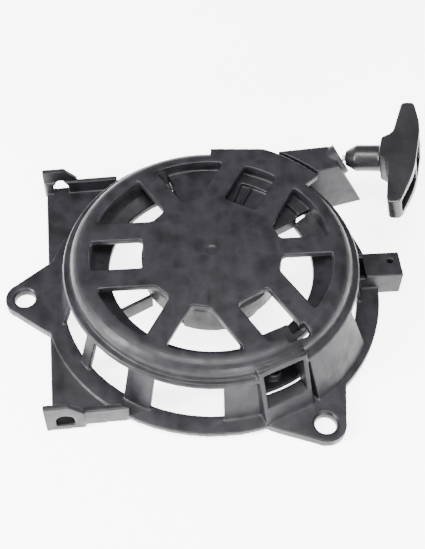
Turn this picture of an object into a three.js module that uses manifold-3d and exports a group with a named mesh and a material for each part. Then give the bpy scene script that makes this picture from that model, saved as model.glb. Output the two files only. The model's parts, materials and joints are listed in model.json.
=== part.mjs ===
// Recoil starter of a small vertical-shaft engine: a moulded case with three mounting ears,
// a spring-driven rope reel on the case's centre post, two pawls thrown out by a ratchet guide,
// and a T-handled pull rope that leaves through a guide at the side of the case.
// Millimetres, +Z up. The case rests on z = 0, the plane that bolts to the engine.

import * as THREE from 'three';
import { mergeVertices } from 'three/addons/utils/BufferGeometryUtils.js';
import Module from 'manifold-3d';

const wasm = await Module();
wasm.setup();

// ---------------------------------------------------------------- driving dimensions

const GAP = 0.3; // clearance between pieces that touch
const RUNNING_GAP = 0.5; // clearance between pieces that move past each other
const OVERSHOOT = 1; // how far a cutter runs past the face it cuts
const ROUND_STEPS = 64; // facets round the large turned shapes
const SMALL_STEPS = 24; // facets round pins, bores and screws

// Case: dome
const CASE_HEIGHT = 38;
const PLATE_THICKNESS = 3.5;
const DOME_FLAT_RADIUS = 66.5; // where the flat top ends and the shoulder starts
const SHOULDER_RADIUS = 8;
const BEAD_REACH = 2.5; // how far the bead stands out from the wall
const BEAD_HEIGHT = 3.5;
const WALL_TOP_RADIUS = 76;
const WALL_FOOT_RADIUS = 82.5;
const WALL_THICKNESS = 2.5;

// Case: base ring and ears
const RING_RADIUS = 90;
const RING_THICKNESS = 5;
const RING_LIP_HEIGHT = 1.8;
const RING_LIP_STEP = 1;
const RING_SWELL = 2.2; // the ring is wider between the bracket and the lower ear
const RING_SWELL_DEG = [-47, -4];
const EAR_CIRCLE_RADIUS = 101;
const EAR_RADIUS = 10.5;
const EAR_TIP_DEG = 62; // half the arc of an ear's round end
const EAR_HOLE_RADIUS = 5.5;
const EAR_HOLE_CHAMFER = 1.2;
const EAR_SPREAD_DEG = 17; // half the angle over which an ear blends into the ring
const EAR_ROOT_DEPTH = 8; // how far an ear runs in under the ring
const EAR_ANGLES_DEG = [60, 180, 300];

// Case: nine slots in the top
const SLOT_INNER_RADIUS = 36.9;
const SLOT_OUTER_RADIUS = 64;
const SQUARE_SLOT_HALF_WIDTH = 9.56;
const BAR_WIDTH = 11.9; // the two bars beside each square slot
const SPOKE_HALF_WIDTH = 5.67; // the plain spokes between two fan-shaped slots
const SLOT_CORNER = 2.5;
const GATE_MARK_RADIUS = 3;
const GATE_MARK_DEPTH = 0.5;

// Case: windows in the side wall, as [start, end] angles
const WINDOWS_DEG = [
  [193, 211],
  [215.5, 233.5],
  [243.5, 270.5],
  [332, 350],
];
const WINDOW_SLANT_DEG = 1.2;

// Case: smooth flared panel beside the latch pocket
const PANEL_DEG = [303.5, 331.5];
const PANEL_FOOT_RADIUS = 89.4;

// Case: drum round the reel, ledge round the air inlet, and what joins the two
const DRUM_WALL = 2.2;
const DRUM_FOOT_Z = 22.5;
const SKIRT_DEG = [243, 290]; // where the drum reaches lower
const SKIRT_DEPTH = 5.5;
const INLET_RADIUS = 54.3;
const INLET_LIP_HEIGHT = 3.5;
const INLET_LIP_TOP_Z = 24.5;
const LEDGE_WALL = 2.6;
const STRUT_DEG = 208;
const STRUT_THICKNESS = 1.8;
const STRUT_HEIGHT = 9.5;

// Case: roof over the rope between the drum and the rope guide
const ROOF_DEG = [28.6, 108];
const ROOF_STEP_DEG = 68; // the roof is higher beyond this angle
const ROOF_THICKNESS = 1.2;
const HIGH_ROOF_THICKNESS = 3.1;
const ROOF_SHELF_RADIUS = 56.5;
const ROOF_RIB_DEG = 62;
const ROOF_RIB_HEIGHT = 2;

// Case: tray on the left with two clip plates
const TRAY_TURN_DEG = 2.5;
const TRAY_LEFT = -88;
const TRAY_NEAR = -74.3;
const TRAY_FAR = 83.5;
const TRAY_FLOOR = 4;
const BEAM_HEIGHT = 12;
const BEAM_THICKNESS = 3;
const BEAM_REACH = -46; // how far the beams run in towards the ring
const CLIP_WIDTH = 19.6;
const CLIP_HEIGHT = 20;
const CLIP_THICKNESS = 3;
const CLIP_CHAMFER = 7;
const CLIP_HOLE_WIDTH = 9;
const CLIP_HOLE_TOP = 12.5;
const CLIP_OVERHANG = [3, 1]; // how far the near and the far plate stand past the tray's left edge

// Case: screw bracket on the right
const BRACKET_X = [84, 104.5];
const BRACKET_Y = [-6, 10];
const BRACKET_HEIGHT = 15.5;
const BRACKET_SCREW_RADIUS = 1.7;
const BRACKET_SCREW_DEPTH = 11;
const BRACKET_SCREW_AT = [98.9, 4.1];
const BRACKET_RIB_THICKNESS = 2.5;
const BRACKET_RIB_REACH = [8, 6]; // past the block's inner face, towards the wall and into the block

// Case: latch pocket on the lower right, in its own frame (x outwards, y along the wall)
const POCKET_TURN_DEG = -67.5;
const POCKET_HALF_WIDTH = 11;
const POCKET_WALL = 2.5;
const POCKET_DROP = 4; // from the top of the case to the top of the pocket
const POCKET_TOP_REACH = 76;
const POCKET_FOOT_REACH = 88;
const POCKET_FLOOR_Z = 13.5;
const POCKET_BACK = 56;
const POCKET_BOSS_RADIUS = 4.2;
const POCKET_BOSS_WALL = 1.8;
const POCKET_BOSS_X = 68;
const POCKET_BOSS_HEIGHT = 4.5;
const PORT_SIZE = [7, 12];
const PORT_AT = [65, 14];

// Rope
const ROPE_RADIUS = 1.75;
const ROPE_SIDES = 10;
const ROPE_ROOM = 0.5; // round the rope where it runs free
const BUSH_ROPE_ROOM = 0.85; // round the rope in the guide bush

// Rope guide, in a frame turned by GUIDE_TURN_DEG: u runs out along the guide, w across it
const GUIDE_TURN_DEG = 14.25;
const GUIDE_NEAR_W = 38;
const GUIDE_FAR_W = [61, 51.6]; // far wall at GUIDE_START_U and at the mouth's foot
const GUIDE_START_U = 52;
const GUIDE_FOOT_U = 108.1; // mouth plane at z = 0
const GUIDE_DROP = 3; // from the top of the case to the top of the guide
const GUIDE_TOP_WALL = 4.8;
const GUIDE_WALL = 2.6;
const MOUTH_TILT_DEG = 28.4; // how far the mouth leans back
const MOUTH_W = 48;
const MOUTH_RISE = 2.5; // from the middle of the reel's groove to the middle of the mouth
const MOUTH_THICKNESS = 4;
const COLLAR_RADIUS = 9;
const COLLAR_THICKNESS = 3;
const TOP_LIP_RADIUS = 80.5; // the dome's top reaches this far over the guide
const TOP_LIP_DEG = [38, 64];
const TOP_LIP_END_DEG = 86;
const GROOVE_RADIUS = 85; // outer edge of the arc-shaped groove beside that lip
const GROOVE_DEPTH = 3.4;

// Guide bush in the mouth
const BUSH_WALL = 1.4;
const BUSH_FLANGE_REACH = 1.4;
const BUSH_FLANGE_THICKNESS = 0.8;

// Centre post, sleeve, screw and washer
const POST_RADIUS = 7.5;
const POST_BORE_RADIUS = 2.3;
const POST_BORE_TOP_WALL = 9;
const SLEEVE_THICKNESS = 1.5;
const WASHER_THICKNESS = 0.8;
const SCREW_SHANK_RADIUS = 3;
const SCREW_THREAD_RADIUS = 2;
const SCREW_THREAD_LENGTH = 12.8;
const SCREW_HEAD_RADIUS = 8;
const SCREW_HEAD_HEIGHT = 3.2;
const SCREW_HEX_RADIUS = 4.6;
const SCREW_HEX_STANDOUT = 0.2;

// Reel
const REEL_TOP_ROOM = 1.25; // below the case's top plate
const REEL_SIDE_ROOM = 0.7; // inside the drum
const WINDING_DEPTH = 10.5; // thickness of the wound rope: three layers
const WINDING_CLEARANCE = 1; // from the wound rope to the rim of the reel
const FLANGE_THICKNESS = 2;
const ROPES_ABREAST = 3; // turns of rope side by side between the flanges
const REEL_WEB = 2.5;
const REEL_CORE_WALL = 2.5;
const HUB_TO_PIVOT = 5; // from the hub's side to the pawls' pivots
const HUB_HEIGHT = 1.25; // below the lower flange
const POST_STANDOUT = 4; // how far the post reaches below the hub
const REEL_RIBS = 9;
const REEL_RIB_WIDTH = 1.6;
const REEL_RIB_HEIGHT = 1.2;
const REEL_RIB_LENGTH = 4;
const REEL_KNOT_DEG = 240; // where the rope's end passes down through the lower flange
const REEL_KNOT_RADIUS = 2.6;

// Recoil spring
const SPRING_TURNS = 5;
const SPRING_STRIP = 0.9;
const SPRING_HEIGHT = 7.5;
const SPRING_STEPS_PER_TURN = 22;

// Pawls and ratchet guide
const PAWL_PIVOT_SHARE = 19 / 34; // how far out the pawls pivot, as a share of the reel's radius
const PAWL_POST_RADIUS = 2.5;
const PAWL_HUB_RADIUS = 5;
const PAWL_LENGTH = 18.5;
const PAWL_TIP_WIDTH = 4;
const PAWL_TIP_THICKNESS = 3.5;
const PAWL_THICKNESS = 3.6;
const PAWL_SWING_DEG = 30;
const PAWL_PIN_AT = [1.6, -10]; // cam pin, from the pivot
const PAWL_PIN_RADIUS = 1.5;
const PAWL_ANGLES_DEG = [0, 180];
const GUIDE_SWING_DEG = 30; // turn of the ratchet guide that throws the pawls
const RATCHET_RIM_STEP = 3; // the ratchet guide is this much smaller than the reel
const RATCHET_THICKNESS = 3;
const RATCHET_SLOT_STEPS = 8;
const RATCHET_LUG_DEG = 90;
const RATCHET_LUG_SIZE = [2, 5]; // radially and across
const RATCHET_LUG_OFFSET = 3.4; // from the post's surface

// Small springs
const PAWL_SPRING_WIRE = 0.45;
const PAWL_SPRING_LEG = 8.5;
const FRICTION_WIRE = 0.65;
const FRICTION_HOOK = 5;

// Grip, in its own frame: a runs out along the pull, b along the T, t through its thickness
const GRIP_PLAN_DEG = -17.25;
const GRIP_RISE_DEG = 13;
const GRIP_STANDOFF = 3; // nose to collar
const GRIP_LENGTH = 82;
const GRIP_DEPTH = 42.5; // nose to palm crown
const GRIP_NOSE_RADIUS = 4.2;
const GRIP_NOSE_LENGTH = 6;
const GRIP_STEM_HALF = 7.5;
const GRIP_BAR_INNER = 25; // nose to the inner side of the T
const GRIP_END_DEPTHS = [28, 35]; // inner and palm side at the ends
const GRIP_HALF_THICKNESS = 9.5;
const GRIP_END_HALF_THICKNESS = 6.5;
const GRIP_WALL = 2.4;
const GRIP_POCKET_FLOOR = 31;
const GRIP_RIB_HALF_SPAN = 10;
const GRIP_ROPE_ROOM = 0.55;
const KNOT_WASHER_RIM = 3.2;
const KNOT_WASHER_THICKNESS = 1;
const GRIP_KNOT_RADIUS = 3.4;

// ---------------------------------------------------------------- sizes that follow

const DEG = Math.PI / 180;
const PLATE_UNDER_Z = CASE_HEIGHT - PLATE_THICKNESS;
const SLOT_CUT_BOTTOM_Z = PLATE_UNDER_Z - OVERSHOOT;
const BEAD_TOP_Z = CASE_HEIGHT - SHOULDER_RADIUS;
const BEAD_BOTTOM_Z = BEAD_TOP_Z - BEAD_HEIGHT;
const BEAD_RADIUS = WALL_TOP_RADIUS + BEAD_REACH;
const DRUM_RADIUS = SLOT_INNER_RADIUS;
const DRUM_INNER = DRUM_RADIUS - DRUM_WALL;
const REEL_RADIUS = DRUM_INNER - REEL_SIDE_ROOM;
const PAWL_PIVOT_RADIUS = REEL_RADIUS * PAWL_PIVOT_SHARE;
const RATCHET_RADIUS = REEL_RADIUS - RATCHET_RIM_STEP;
const HUB_RADIUS = PAWL_PIVOT_RADIUS - HUB_TO_PIVOT;
const WINDING_RADIUS = REEL_RADIUS - WINDING_CLEARANCE;
const REEL_CORE_RADIUS = WINDING_RADIUS - WINDING_DEPTH;
const CAVITY_RADIUS = REEL_CORE_RADIUS - REEL_CORE_WALL;
const GROOVE_WIDTH = 2 * ROPE_RADIUS * ROPES_ABREAST;
const REEL_HIGH_Z = PLATE_UNDER_Z - REEL_TOP_ROOM;
const GROOVE_HIGH_Z = REEL_HIGH_Z - FLANGE_THICKNESS;
const GROOVE_LOW_Z = GROOVE_HIGH_Z - GROOVE_WIDTH;
const REEL_LOW_Z = GROOVE_LOW_Z - FLANGE_THICKNESS;
const HUB_END_Z = REEL_LOW_Z - HUB_HEIGHT;
const POST_END_Z = HUB_END_Z - POST_STANDOUT;
const CAVITY_FLOOR_Z = REEL_LOW_Z + REEL_WEB;
const SLEEVE_INNER = POST_RADIUS + GAP;
const SLEEVE_OUTER = SLEEVE_INNER + SLEEVE_THICKNESS;
const REEL_BORE = SLEEVE_OUTER + GAP;
const ROPE_W = WINDING_RADIUS - ROPE_RADIUS;
const ROPE_Z = (GROOVE_LOW_Z + GROOVE_HIGH_Z) / 2;
const ROOF_LOW_Z = ROPE_Z + ROPE_RADIUS + ROPE_ROOM;
const WASHER_HIGH_Z = POST_END_Z - GAP;
const WASHER_LOW_Z = WASHER_HIGH_Z - WASHER_THICKNESS;
const RATCHET_HIGH_Z = WASHER_LOW_Z - GAP;
const RATCHET_LOW_Z = RATCHET_HIGH_Z - RATCHET_THICKNESS;
const SCREW_HEAD_TOP_Z = RATCHET_LOW_Z - GAP;
const PAWL_LOW_Z = RATCHET_HIGH_Z + RUNNING_GAP;
const PAWL_HIGH_Z = PAWL_LOW_Z + PAWL_THICKNESS;
const POCKET_TOP_Z = CASE_HEIGHT - POCKET_DROP;
const GUIDE_HEIGHT = CASE_HEIGHT - GUIDE_DROP;
const GUIDE_CEILING_Z = GUIDE_HEIGHT - GUIDE_TOP_WALL;
const MOUTH_Z = ROPE_Z + MOUTH_RISE;
const BUSH_BORE = ROPE_RADIUS + BUSH_ROPE_ROOM;
const BUSH_RADIUS = BUSH_BORE + BUSH_WALL;
const BUSH_FLANGE_RADIUS = BUSH_RADIUS + BUSH_FLANGE_REACH;
const GRIP_ROPE_BORE = ROPE_RADIUS + GRIP_ROPE_ROOM;
const MOUTH_SLOPE = Math.tan(MOUTH_TILT_DEG * DEG);
const GRIP_AXIS = new THREE.Vector3(
  Math.cos(GRIP_RISE_DEG * DEG) * Math.cos(GRIP_PLAN_DEG * DEG),
  Math.cos(GRIP_RISE_DEG * DEG) * Math.sin(GRIP_PLAN_DEG * DEG),
  Math.sin(GRIP_RISE_DEG * DEG),
);

// ---------------------------------------------------------------- shape helpers

// A closed geometry as a solid that can be cut and joined.
function solid(geometry) {
  const bare = geometry.clone();
  bare.deleteAttribute('normal');
  bare.deleteAttribute('uv');
  const merged = mergeVertices(bare, 1e-4);
  const index = merged.index.array;
  const kept = [];
  for (let i = 0; i < index.length; i += 3) {
    const [a, b, c] = [index[i], index[i + 1], index[i + 2]];
    if (a !== b && b !== c && c !== a) kept.push(a, b, c);
  }
  const vertProperties = new Float32Array(merged.attributes.position.array);
  return new wasm.Manifold(new wasm.Mesh({ numProp: 3, vertProperties, triVerts: new Uint32Array(kept) }));
}

function geometryOf(shape) {
  const mesh = shape.getMesh();
  const geometry = new THREE.BufferGeometry();
  geometry.setAttribute('position', new THREE.BufferAttribute(mesh.vertProperties, 3));
  geometry.setIndex(new THREE.BufferAttribute(mesh.triVerts, 1));
  return geometry;
}

function joined(shapes) {
  return shapes.reduce((whole, next) => whole.add(next));
}

function cut(shape, cutters) {
  return cutters.reduce((left, cutter) => left.subtract(cutter), shape);
}

function polar(radius, degrees) {
  return [radius * Math.cos(degrees * DEG), radius * Math.sin(degrees * DEG)];
}

// Points of an arc about the origin, from one angle to another.
function arc(radius, fromDeg, toDeg, steps) {
  const points = [];
  for (let i = 0; i <= steps; i += 1) {
    points.push(polar(radius, fromDeg + ((toDeg - fromDeg) * i) / steps));
  }
  return points;
}

// An outline whose corners [x, y, round] are rounded where the third value is given.
function outline(corners) {
  const shape = new THREE.Shape();
  const at = (i) => new THREE.Vector2(...corners[(i + corners.length) % corners.length].slice(0, 2));
  corners.forEach(([x, y, round = 0], i) => {
    const here = at(i);
    const back = at(i - 1).sub(here);
    const on = at(i + 1).sub(here);
    const start = here.clone().add(back.setLength(Math.min(round, back.length() / 2)));
    const end = here.clone().add(on.setLength(Math.min(round, on.length() / 2)));
    if (i === 0) shape.moveTo(start.x, start.y);
    else shape.lineTo(start.x, start.y);
    if (round > 0) shape.quadraticCurveTo(x, y, end.x, end.y);
  });
  shape.closePath();
  return shape;
}

// An upright prism over an outline.
function prism(corners, lowZ, highZ, curveSegments = 4) {
  const settings = { depth: highZ - lowZ, bevelEnabled: false, curveSegments };
  const geometry = new THREE.ExtrudeGeometry(outline(corners), settings);
  return solid(geometry.translate(0, 0, lowZ));
}

// A solid of revolution about Z from [radius, z] points, counterclockwise.
function turned(profile, steps = ROUND_STEPS) {
  const points = profile.map(([r, z]) => new THREE.Vector2(r, z));
  return solid(new THREE.LatheGeometry(points, steps).rotateX(Math.PI / 2));
}

function ringProfile(inner, outer, lowZ, highZ) {
  return [[inner, lowZ], [outer, lowZ], [outer, highZ], [inner, highZ], [inner, lowZ]];
}

function disc(radius, lowZ, highZ, steps = SMALL_STEPS) {
  return turned([[0, lowZ], [radius, lowZ], [radius, highZ], [0, highZ]], steps);
}

function ring(inner, outer, lowZ, highZ, steps = SMALL_STEPS) {
  return turned(ringProfile(inner, outer, lowZ, highZ), steps);
}

function box([x0, x1], [y0, y1], [z0, z1]) {
  return prism([[x0, y0], [x1, y0], [x1, y1], [x0, y1]], z0, z1);
}

// A round tube along a smooth line through the given points.
function tube(points, radius, sides, steps) {
  const section = new THREE.Shape(
    arc(radius, 0, 360 - 360 / sides, sides - 1).map(([x, y]) => new THREE.Vector2(x, y)),
  );
  const path = new THREE.CatmullRomCurve3(points.map((p) => new THREE.Vector3(...p)));
  return solid(new THREE.ExtrudeGeometry(section, { extrudePath: path, steps, bevelEnabled: false }));
}

function spunBy(shape, degrees) {
  return shape.rotate([0, 0, degrees]);
}

// ---------------------------------------------------------------- rope geometry

// A point of the rope guide's frame in the part's frame.
function guidePoint(u, w, z) {
  const [c, s] = [Math.cos(GUIDE_TURN_DEG * DEG), Math.sin(GUIDE_TURN_DEG * DEG)];
  return new THREE.Vector3(u * c - w * s, u * s + w * c, z);
}

const MOUTH_NORMAL = guidePoint(Math.cos(MOUTH_TILT_DEG * DEG), 0, Math.sin(MOUTH_TILT_DEG * DEG));
const MOUTH_CENTRE = guidePoint(GUIDE_FOOT_U - MOUTH_Z * MOUTH_SLOPE, MOUTH_W, MOUTH_Z);
const COLLAR_FACE = MOUTH_CENTRE.clone().addScaledVector(MOUTH_NORMAL, COLLAR_THICKNESS);
const GRIP_NOSE = COLLAR_FACE.clone().addScaledVector(GRIP_AXIS, GRIP_STANDOFF);

// Where the level rope turns up into the leaning bore of the mouth.
function mouthPoint(depth) {
  return MOUTH_CENTRE.clone().addScaledVector(MOUTH_NORMAL, -depth);
}

const ROPE_BEND = mouthPoint(MOUTH_RISE / Math.sin(MOUTH_TILT_DEG * DEG) + ROPE_RADIUS).setZ(ROPE_Z);
const ROPE_AIM_DEG = (
  Math.atan2(ROPE_BEND.y, ROPE_BEND.x) - Math.asin(ROPE_W / Math.hypot(ROPE_BEND.x, ROPE_BEND.y))
) / DEG;

// Turns a shape made along +Z about the origin so that it stands on the mouth's face.
function onMouth(shape, depth) {
  const start = MOUTH_CENTRE.clone().addScaledVector(MOUTH_NORMAL, depth);
  return shape.rotate([0, 90 - MOUTH_TILT_DEG, 0]).rotate([0, 0, GUIDE_TURN_DEG]).translate(start.toArray());
}

// ---------------------------------------------------------------- case

function domeShell() {
  const shoulder = (radius) => arc(radius, 0, 90, 6).map(([r, z]) => (
    [r + DOME_FLAT_RADIUS, z + CASE_HEIGHT - SHOULDER_RADIUS]
  ));
  const innerShoulder = shoulder(SHOULDER_RADIUS - PLATE_THICKNESS).reverse();
  const outerShoulder = shoulder(SHOULDER_RADIUS);
  const beadMiddle = (BEAD_TOP_Z + BEAD_BOTTOM_Z) / 2;
  return turned([
    [0, PLATE_UNDER_Z],
    ...innerShoulder,
    [WALL_TOP_RADIUS - WALL_THICKNESS, BEAD_BOTTOM_Z],
    [WALL_FOOT_RADIUS - WALL_THICKNESS, RING_THICKNESS],
    [WALL_FOOT_RADIUS - WALL_THICKNESS, 0],
    [RING_RADIUS - RING_LIP_STEP, 0],
    [RING_RADIUS - RING_LIP_STEP, RING_LIP_HEIGHT],
    [RING_RADIUS, RING_LIP_HEIGHT],
    [RING_RADIUS, RING_THICKNESS],
    [WALL_FOOT_RADIUS, RING_THICKNESS],
    [WALL_TOP_RADIUS, BEAD_BOTTOM_Z],
    [BEAD_RADIUS - 1, BEAD_BOTTOM_Z],
    [BEAD_RADIUS, beadMiddle],
    [BEAD_RADIUS - 1, BEAD_TOP_Z],
    ...outerShoulder,
    [0, CASE_HEIGHT],
  ]);
}

// A sector of an upright ring.
function ringSector(inner, outer, [fromDeg, toDeg], lowZ, highZ, steps = 12) {
  const rim = arc(outer, fromDeg, toDeg, steps);
  const bore = arc(inner, fromDeg, toDeg, steps).reverse();
  return prism([...rim, ...bore], lowZ, highZ);
}

// Ledge that hangs from the dome outside the slots and ends in the lip of the air inlet.
function inletLedge() {
  const lipFoot = INLET_LIP_TOP_Z - INLET_LIP_HEIGHT;
  const slotEdge = SLOT_OUTER_RADIUS + 0.2;
  const joint = PLATE_UNDER_Z + 0.5;
  const ledge = turned([
    [INLET_RADIUS, lipFoot],
    [INLET_RADIUS + LEDGE_WALL, lipFoot],
    [INLET_RADIUS + LEDGE_WALL, INLET_LIP_TOP_Z - LEDGE_WALL + 0.6],
    [slotEdge - 1, INLET_LIP_TOP_Z],
    [slotEdge + LEDGE_WALL, INLET_LIP_TOP_Z + LEDGE_WALL + 1.5],
    [slotEdge + LEDGE_WALL, joint],
    [slotEdge, joint],
    [slotEdge, INLET_LIP_TOP_Z + 2 * LEDGE_WALL],
    [slotEdge - LEDGE_WALL, INLET_LIP_TOP_Z + LEDGE_WALL],
    [INLET_RADIUS, INLET_LIP_TOP_Z],
    [INLET_RADIUS, lipFoot],
  ]);
  const ropeSide = ringSector(DRUM_INNER, 2 * RING_RADIUS, ROOF_DEG, -OVERSHOOT, ROOF_LOW_Z);
  return cut(ledge, [ropeSide]);
}

// Wall round the reel, with a deeper skirt on one side and an opening for the rope.
function drum() {
  const wall = ring(DRUM_INNER, DRUM_RADIUS, DRUM_FOOT_Z, PLATE_UNDER_Z + 0.5, ROUND_STEPS);
  const skirt = ringSector(DRUM_INNER, DRUM_RADIUS, SKIRT_DEG, DRUM_FOOT_Z - SKIRT_DEPTH, DRUM_FOOT_Z + 0.5);
  const ropeDoor = box([ROPES_ABREAST * ROPE_RADIUS, DRUM_RADIUS], [ROPE_W - 4, DRUM_RADIUS + OVERSHOOT],
    [DRUM_FOOT_Z - OVERSHOOT, ROOF_LOW_Z]);
  return cut(wall.add(skirt), [spunBy(ropeDoor, ROPE_AIM_DEG)]);
}

// A radial wall from the drum to the ledge.
function radialWall(degrees, thickness, lowZ, highZ) {
  const wall = box([DRUM_RADIUS - 0.5, INLET_RADIUS + 1], [-thickness / 2, thickness / 2], [lowZ, highZ]);
  return spunBy(wall, degrees);
}

// Roof that covers the rope between the drum and the guide, with its end walls and rib.
function ropeRoof() {
  const [from, to] = ROOF_DEG;
  const inner = DRUM_RADIUS - 0.5;
  const outer = SLOT_OUTER_RADIUS + 1;
  const lowTop = ROOF_LOW_Z + ROOF_THICKNESS;
  const highTop = ROOF_LOW_Z + HIGH_ROOF_THICKNESS;
  return joined([
    ringSector(inner, ROOF_SHELF_RADIUS + 0.5, [from, ROOF_STEP_DEG + 1], ROOF_LOW_Z, lowTop),
    ringSector(ROOF_SHELF_RADIUS, outer, [from, ROOF_STEP_DEG + 1], ROOF_LOW_Z, highTop),
    ringSector(inner, outer, [ROOF_STEP_DEG, to], ROOF_LOW_Z, highTop),
    radialWall(from, STRUT_THICKNESS, DRUM_FOOT_Z, lowTop),
    radialWall(to, STRUT_THICKNESS, DRUM_FOOT_Z, highTop),
    radialWall(ROOF_RIB_DEG, ROOF_THICKNESS, ROOF_LOW_Z + 0.5, lowTop + ROOF_RIB_HEIGHT),
  ]);
}

// The room inside the dome, which nothing added outside may fill.
function innerRoom() {
  const shoulder = arc(SHOULDER_RADIUS - PLATE_THICKNESS, 0, 90, 6).map(([r, z]) => (
    [r + DOME_FLAT_RADIUS, z + CASE_HEIGHT - SHOULDER_RADIUS]
  ));
  return turned([
    [0, -OVERSHOOT],
    [WALL_FOOT_RADIUS - WALL_THICKNESS, -OVERSHOOT],
    [WALL_FOOT_RADIUS - WALL_THICKNESS, RING_THICKNESS],
    [WALL_TOP_RADIUS - WALL_THICKNESS, BEAD_BOTTOM_Z],
    ...shoulder,
    [0, PLATE_UNDER_Z],
  ]);
}

function squareSlot() {
  const inner = Math.sqrt(SLOT_INNER_RADIUS ** 2 - SQUARE_SLOT_HALF_WIDTH ** 2);
  const outerAngle = Math.asin(SQUARE_SLOT_HALF_WIDTH / SLOT_OUTER_RADIUS) / DEG;
  const rim = arc(SLOT_OUTER_RADIUS, -outerAngle, outerAngle, 4);
  rim[0].push(SLOT_CORNER);
  rim[rim.length - 1].push(SLOT_CORNER);
  return prism([
    [inner, SQUARE_SLOT_HALF_WIDTH, SLOT_CORNER],
    [inner, -SQUARE_SLOT_HALF_WIDTH, SLOT_CORNER],
    ...rim,
  ], SLOT_CUT_BOTTOM_Z, CASE_HEIGHT + OVERSHOOT);
}

// The slot between a plain spoke on +X and the bar beside the square slot at 60 degrees.
function fanSlot() {
  const barEdge = SQUARE_SLOT_HALF_WIDTH + BAR_WIDTH;
  const spokeAngle = (radius) => Math.asin(SPOKE_HALF_WIDTH / radius) / DEG;
  const barAngle = (radius) => 60 - Math.asin(barEdge / radius) / DEG;
  const rim = arc(SLOT_OUTER_RADIUS, spokeAngle(SLOT_OUTER_RADIUS), barAngle(SLOT_OUTER_RADIUS), 7);
  rim[0].push(SLOT_CORNER);
  rim[rim.length - 1].push(SLOT_CORNER);
  return prism([
    [...polar(SLOT_INNER_RADIUS, barAngle(SLOT_INNER_RADIUS)), SLOT_CORNER],
    [...polar(SLOT_INNER_RADIUS, spokeAngle(SLOT_INNER_RADIUS)), SLOT_CORNER],
    ...rim,
  ], SLOT_CUT_BOTTOM_Z, CASE_HEIGHT + OVERSHOOT);
}

function topSlots() {
  const slots = [];
  for (const turn of EAR_ANGLES_DEG) {
    slots.push(spunBy(squareSlot(), turn));
    slots.push(spunBy(fanSlot(), turn - 60));
    slots.push(spunBy(fanSlot().mirror([0, 1, 0]), turn + 60));
  }
  return slots;
}

function sideWindows() {
  return WINDOWS_DEG.map(([from, to]) => {
    const nearSide = arc(60, from + WINDOW_SLANT_DEG, to - WINDOW_SLANT_DEG, 2);
    const farSide = arc(RING_RADIUS + OVERSHOOT, from, to, 4).reverse();
    return prism([...nearSide, ...farSide], RING_THICKNESS, BEAD_BOTTOM_Z);
  });
}

function ear(angle) {
  const [rootX, rootY] = polar(RING_RADIUS - 1, EAR_SPREAD_DEG);
  const rootEnd = rootX - EAR_ROOT_DEPTH;
  const tip = arc(EAR_RADIUS, EAR_TIP_DEG, -EAR_TIP_DEG, 9).map(([x, y]) => [x + EAR_CIRCLE_RADIUS, y]);
  const plate = prism([
    [rootEnd, rootY],
    [rootX, rootY, EAR_ROOT_DEPTH],
    ...tip,
    [rootX, -rootY, EAR_ROOT_DEPTH],
    [rootEnd, -rootY],
  ], 0, RING_THICKNESS);
  return spunBy(plate, angle);
}

function earHole(angle) {
  const [x, y] = polar(EAR_CIRCLE_RADIUS, angle);
  const mouth = EAR_HOLE_RADIUS + EAR_HOLE_CHAMFER;
  const hole = turned([
    [0, -OVERSHOOT],
    [EAR_HOLE_RADIUS, -OVERSHOOT],
    [EAR_HOLE_RADIUS, RING_THICKNESS - EAR_HOLE_CHAMFER],
    [mouth, RING_THICKNESS],
    [mouth, RING_THICKNESS + OVERSHOOT],
    [0, RING_THICKNESS + OVERSHOOT],
  ], SMALL_STEPS);
  return hole.translate([x, y, 0]);
}

// An outline in the x-z plane as an upright plate whose outer face is at y = 0.
function uprightPlate(shape, thickness) {
  const settings = { depth: thickness, bevelEnabled: false, curveSegments: 10 };
  return solid(new THREE.ExtrudeGeometry(shape, settings).rotateX(Math.PI / 2));
}

function clipPlate() {
  return uprightPlate(outline([
    [0, 0],
    [CLIP_WIDTH, 0],
    [CLIP_WIDTH, CLIP_HEIGHT - CLIP_CHAMFER, 1],
    [CLIP_WIDTH - CLIP_CHAMFER, CLIP_HEIGHT, 1],
    [0, CLIP_HEIGHT],
  ]), CLIP_THICKNESS);
}

// Arched hole through a clip plate and the beam behind it, above the tray's floor.
function clipHole() {
  const half = CLIP_HOLE_WIDTH / 2;
  const middle = CLIP_WIDTH / 2;
  const springLine = CLIP_HOLE_TOP - half;
  const arch = new THREE.Shape();
  arch.moveTo(middle - half, TRAY_FLOOR);
  arch.lineTo(middle + half, TRAY_FLOOR);
  arch.lineTo(middle + half, springLine);
  arch.absarc(middle, springLine, half, 0, Math.PI, false);
  arch.closePath();
  return uprightPlate(arch, 4 * CLIP_THICKNESS).translate([0, 1.5 * CLIP_THICKNESS, 0]);
}

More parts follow.
